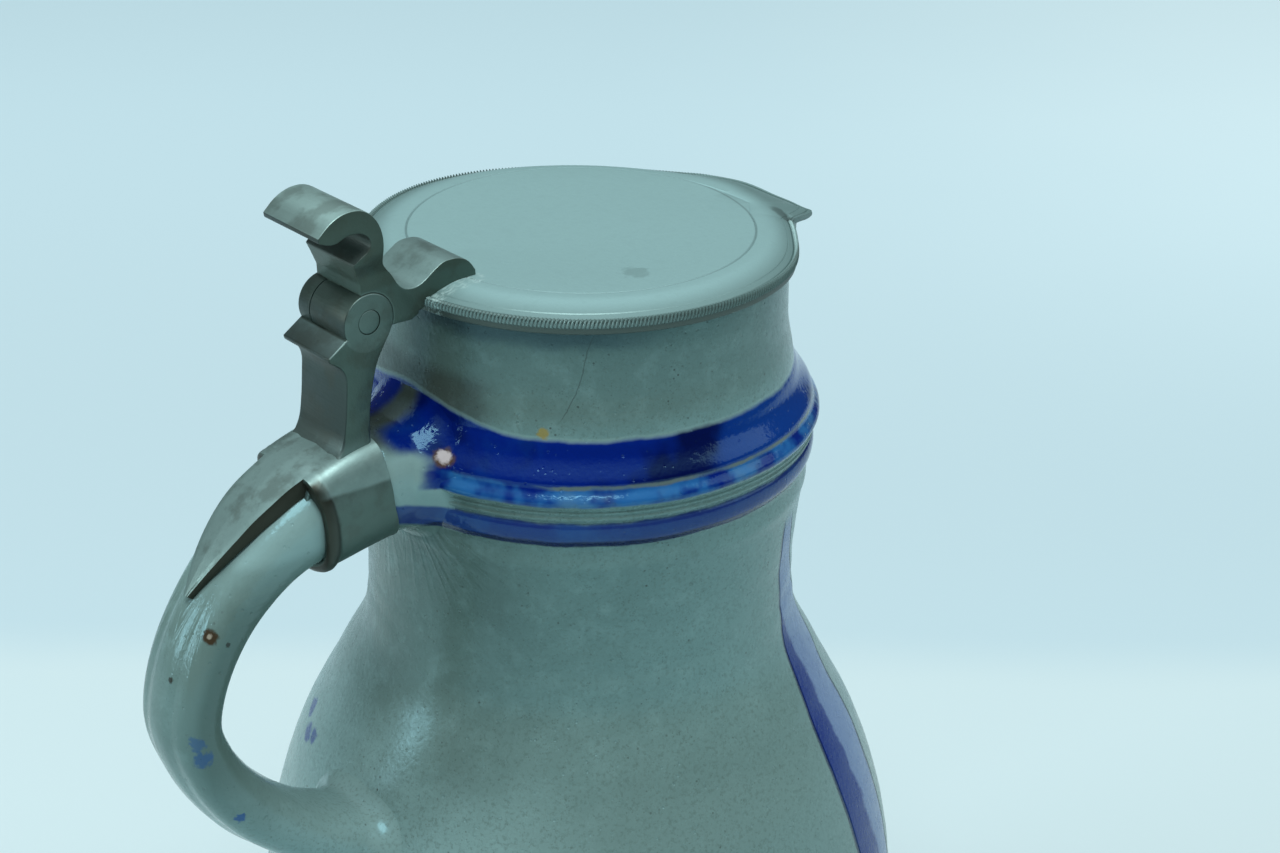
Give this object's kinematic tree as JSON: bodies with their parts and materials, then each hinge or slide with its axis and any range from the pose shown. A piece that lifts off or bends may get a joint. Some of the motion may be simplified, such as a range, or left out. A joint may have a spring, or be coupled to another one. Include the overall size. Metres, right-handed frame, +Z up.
{
  "type": "lidded jug",
  "caption": "Pear-shaped salt-glazed stoneware jug with a strap handle and a hinged pewter lid that a thumb-lift opens.",
  "frame": {"origin": "centre of the flat base", "axes": "+Z up, the handle and the lid hinge on -X, the hinge pin along Y, the spout about 15 degrees off +X towards -Y"},
  "size_m": [0.1863, 0.1514, 0.2713],
  "materials": {
    "stoneware": "grey-green salt-glazed stoneware, glossy with a fine orange-peel grain and cobalt blue bands",
    "pewter": "dull grey-green pewter with a soft sheen",
    "worn_pewter": "cast pewter, tarnished brown in the hollows and rubbed bright on the edges"
  },
  "bodies": {
    "jug": {"jug_body": "stoneware", "jug_handle": "stoneware", "handle_mount": "worn_pewter", "hinge_pillar": "worn_pewter", "hinge_pin": "pewter"},
    "lid": {"lid": "pewter", "thumb_lift": "worn_pewter"}
  },
  "joints": [
    {"name": "lid_hinge", "type": "hinge", "parent": "jug", "child": "lid", "pos_m": [-0.0607, 0, 0.2469], "axis": [0, -1, 0], "range_deg": [0, 100]}
  ]
}
